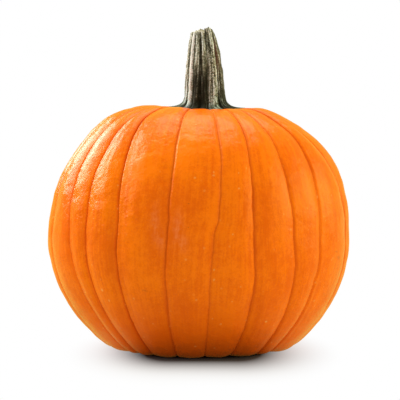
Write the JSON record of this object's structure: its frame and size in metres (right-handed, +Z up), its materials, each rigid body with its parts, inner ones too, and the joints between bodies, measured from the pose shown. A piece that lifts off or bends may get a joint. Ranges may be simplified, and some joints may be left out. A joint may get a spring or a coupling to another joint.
{
  "type": "pumpkin",
  "caption": "Round ribbed carving pumpkin, whole and uncut, standing on its flattened base, with a ridged dry stem on top.",
  "frame": {"origin": "on the surface that the pumpkin stands on, under the middle of its widest outline", "axes": "+Z up, along the stem; -Y towards the front, the side that the picture shows; +X to the right as seen from the front"},
  "size_m": [0.279, 0.2796, 0.2948],
  "materials": {
    "rind": "smooth waxy orange rind, softly glossy, with fine wrinkles and pale specks",
    "dry_stem": "dry, rough and matt, with pale ridges and dark grey-green furrows"
  },
  "bodies": {
    "root": {"fruit": "rind", "stem": "dry_stem"}
  },
  "joints": []
}
